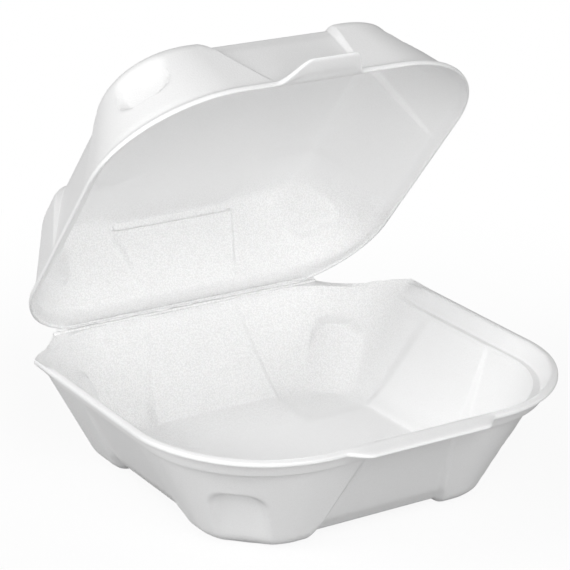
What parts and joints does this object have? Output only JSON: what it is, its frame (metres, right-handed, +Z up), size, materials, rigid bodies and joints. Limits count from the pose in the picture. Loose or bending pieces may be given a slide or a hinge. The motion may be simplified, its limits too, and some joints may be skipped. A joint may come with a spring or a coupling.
{
  "type": "foam clamshell container",
  "caption": "White foam take-away box with a ribbed square tray and a domed lid hinged along the back edge, front tab and lip.",
  "frame": {"origin": "middle of the tray's four feet, on the surface that they stand on", "axes": "+X across the front, -Y to the front lip, +Y to the crease, +Z up"},
  "size_m": [0.15, 0.1626, 0.1459],
  "materials": {
    "foam": "satin, fine-grained expanded foam"
  },
  "bodies": {
    "tray": {"base_tray": "foam"},
    "cover": {"lid": "foam"}
  },
  "joints": [
    {"name": "lid_hinge", "type": "hinge", "parent": "tray", "child": "cover", "pos_m": [0, 0.0671, 0.0353], "axis": [-1, 0, 0], "range_deg": [-47.5, 130]}
  ]
}
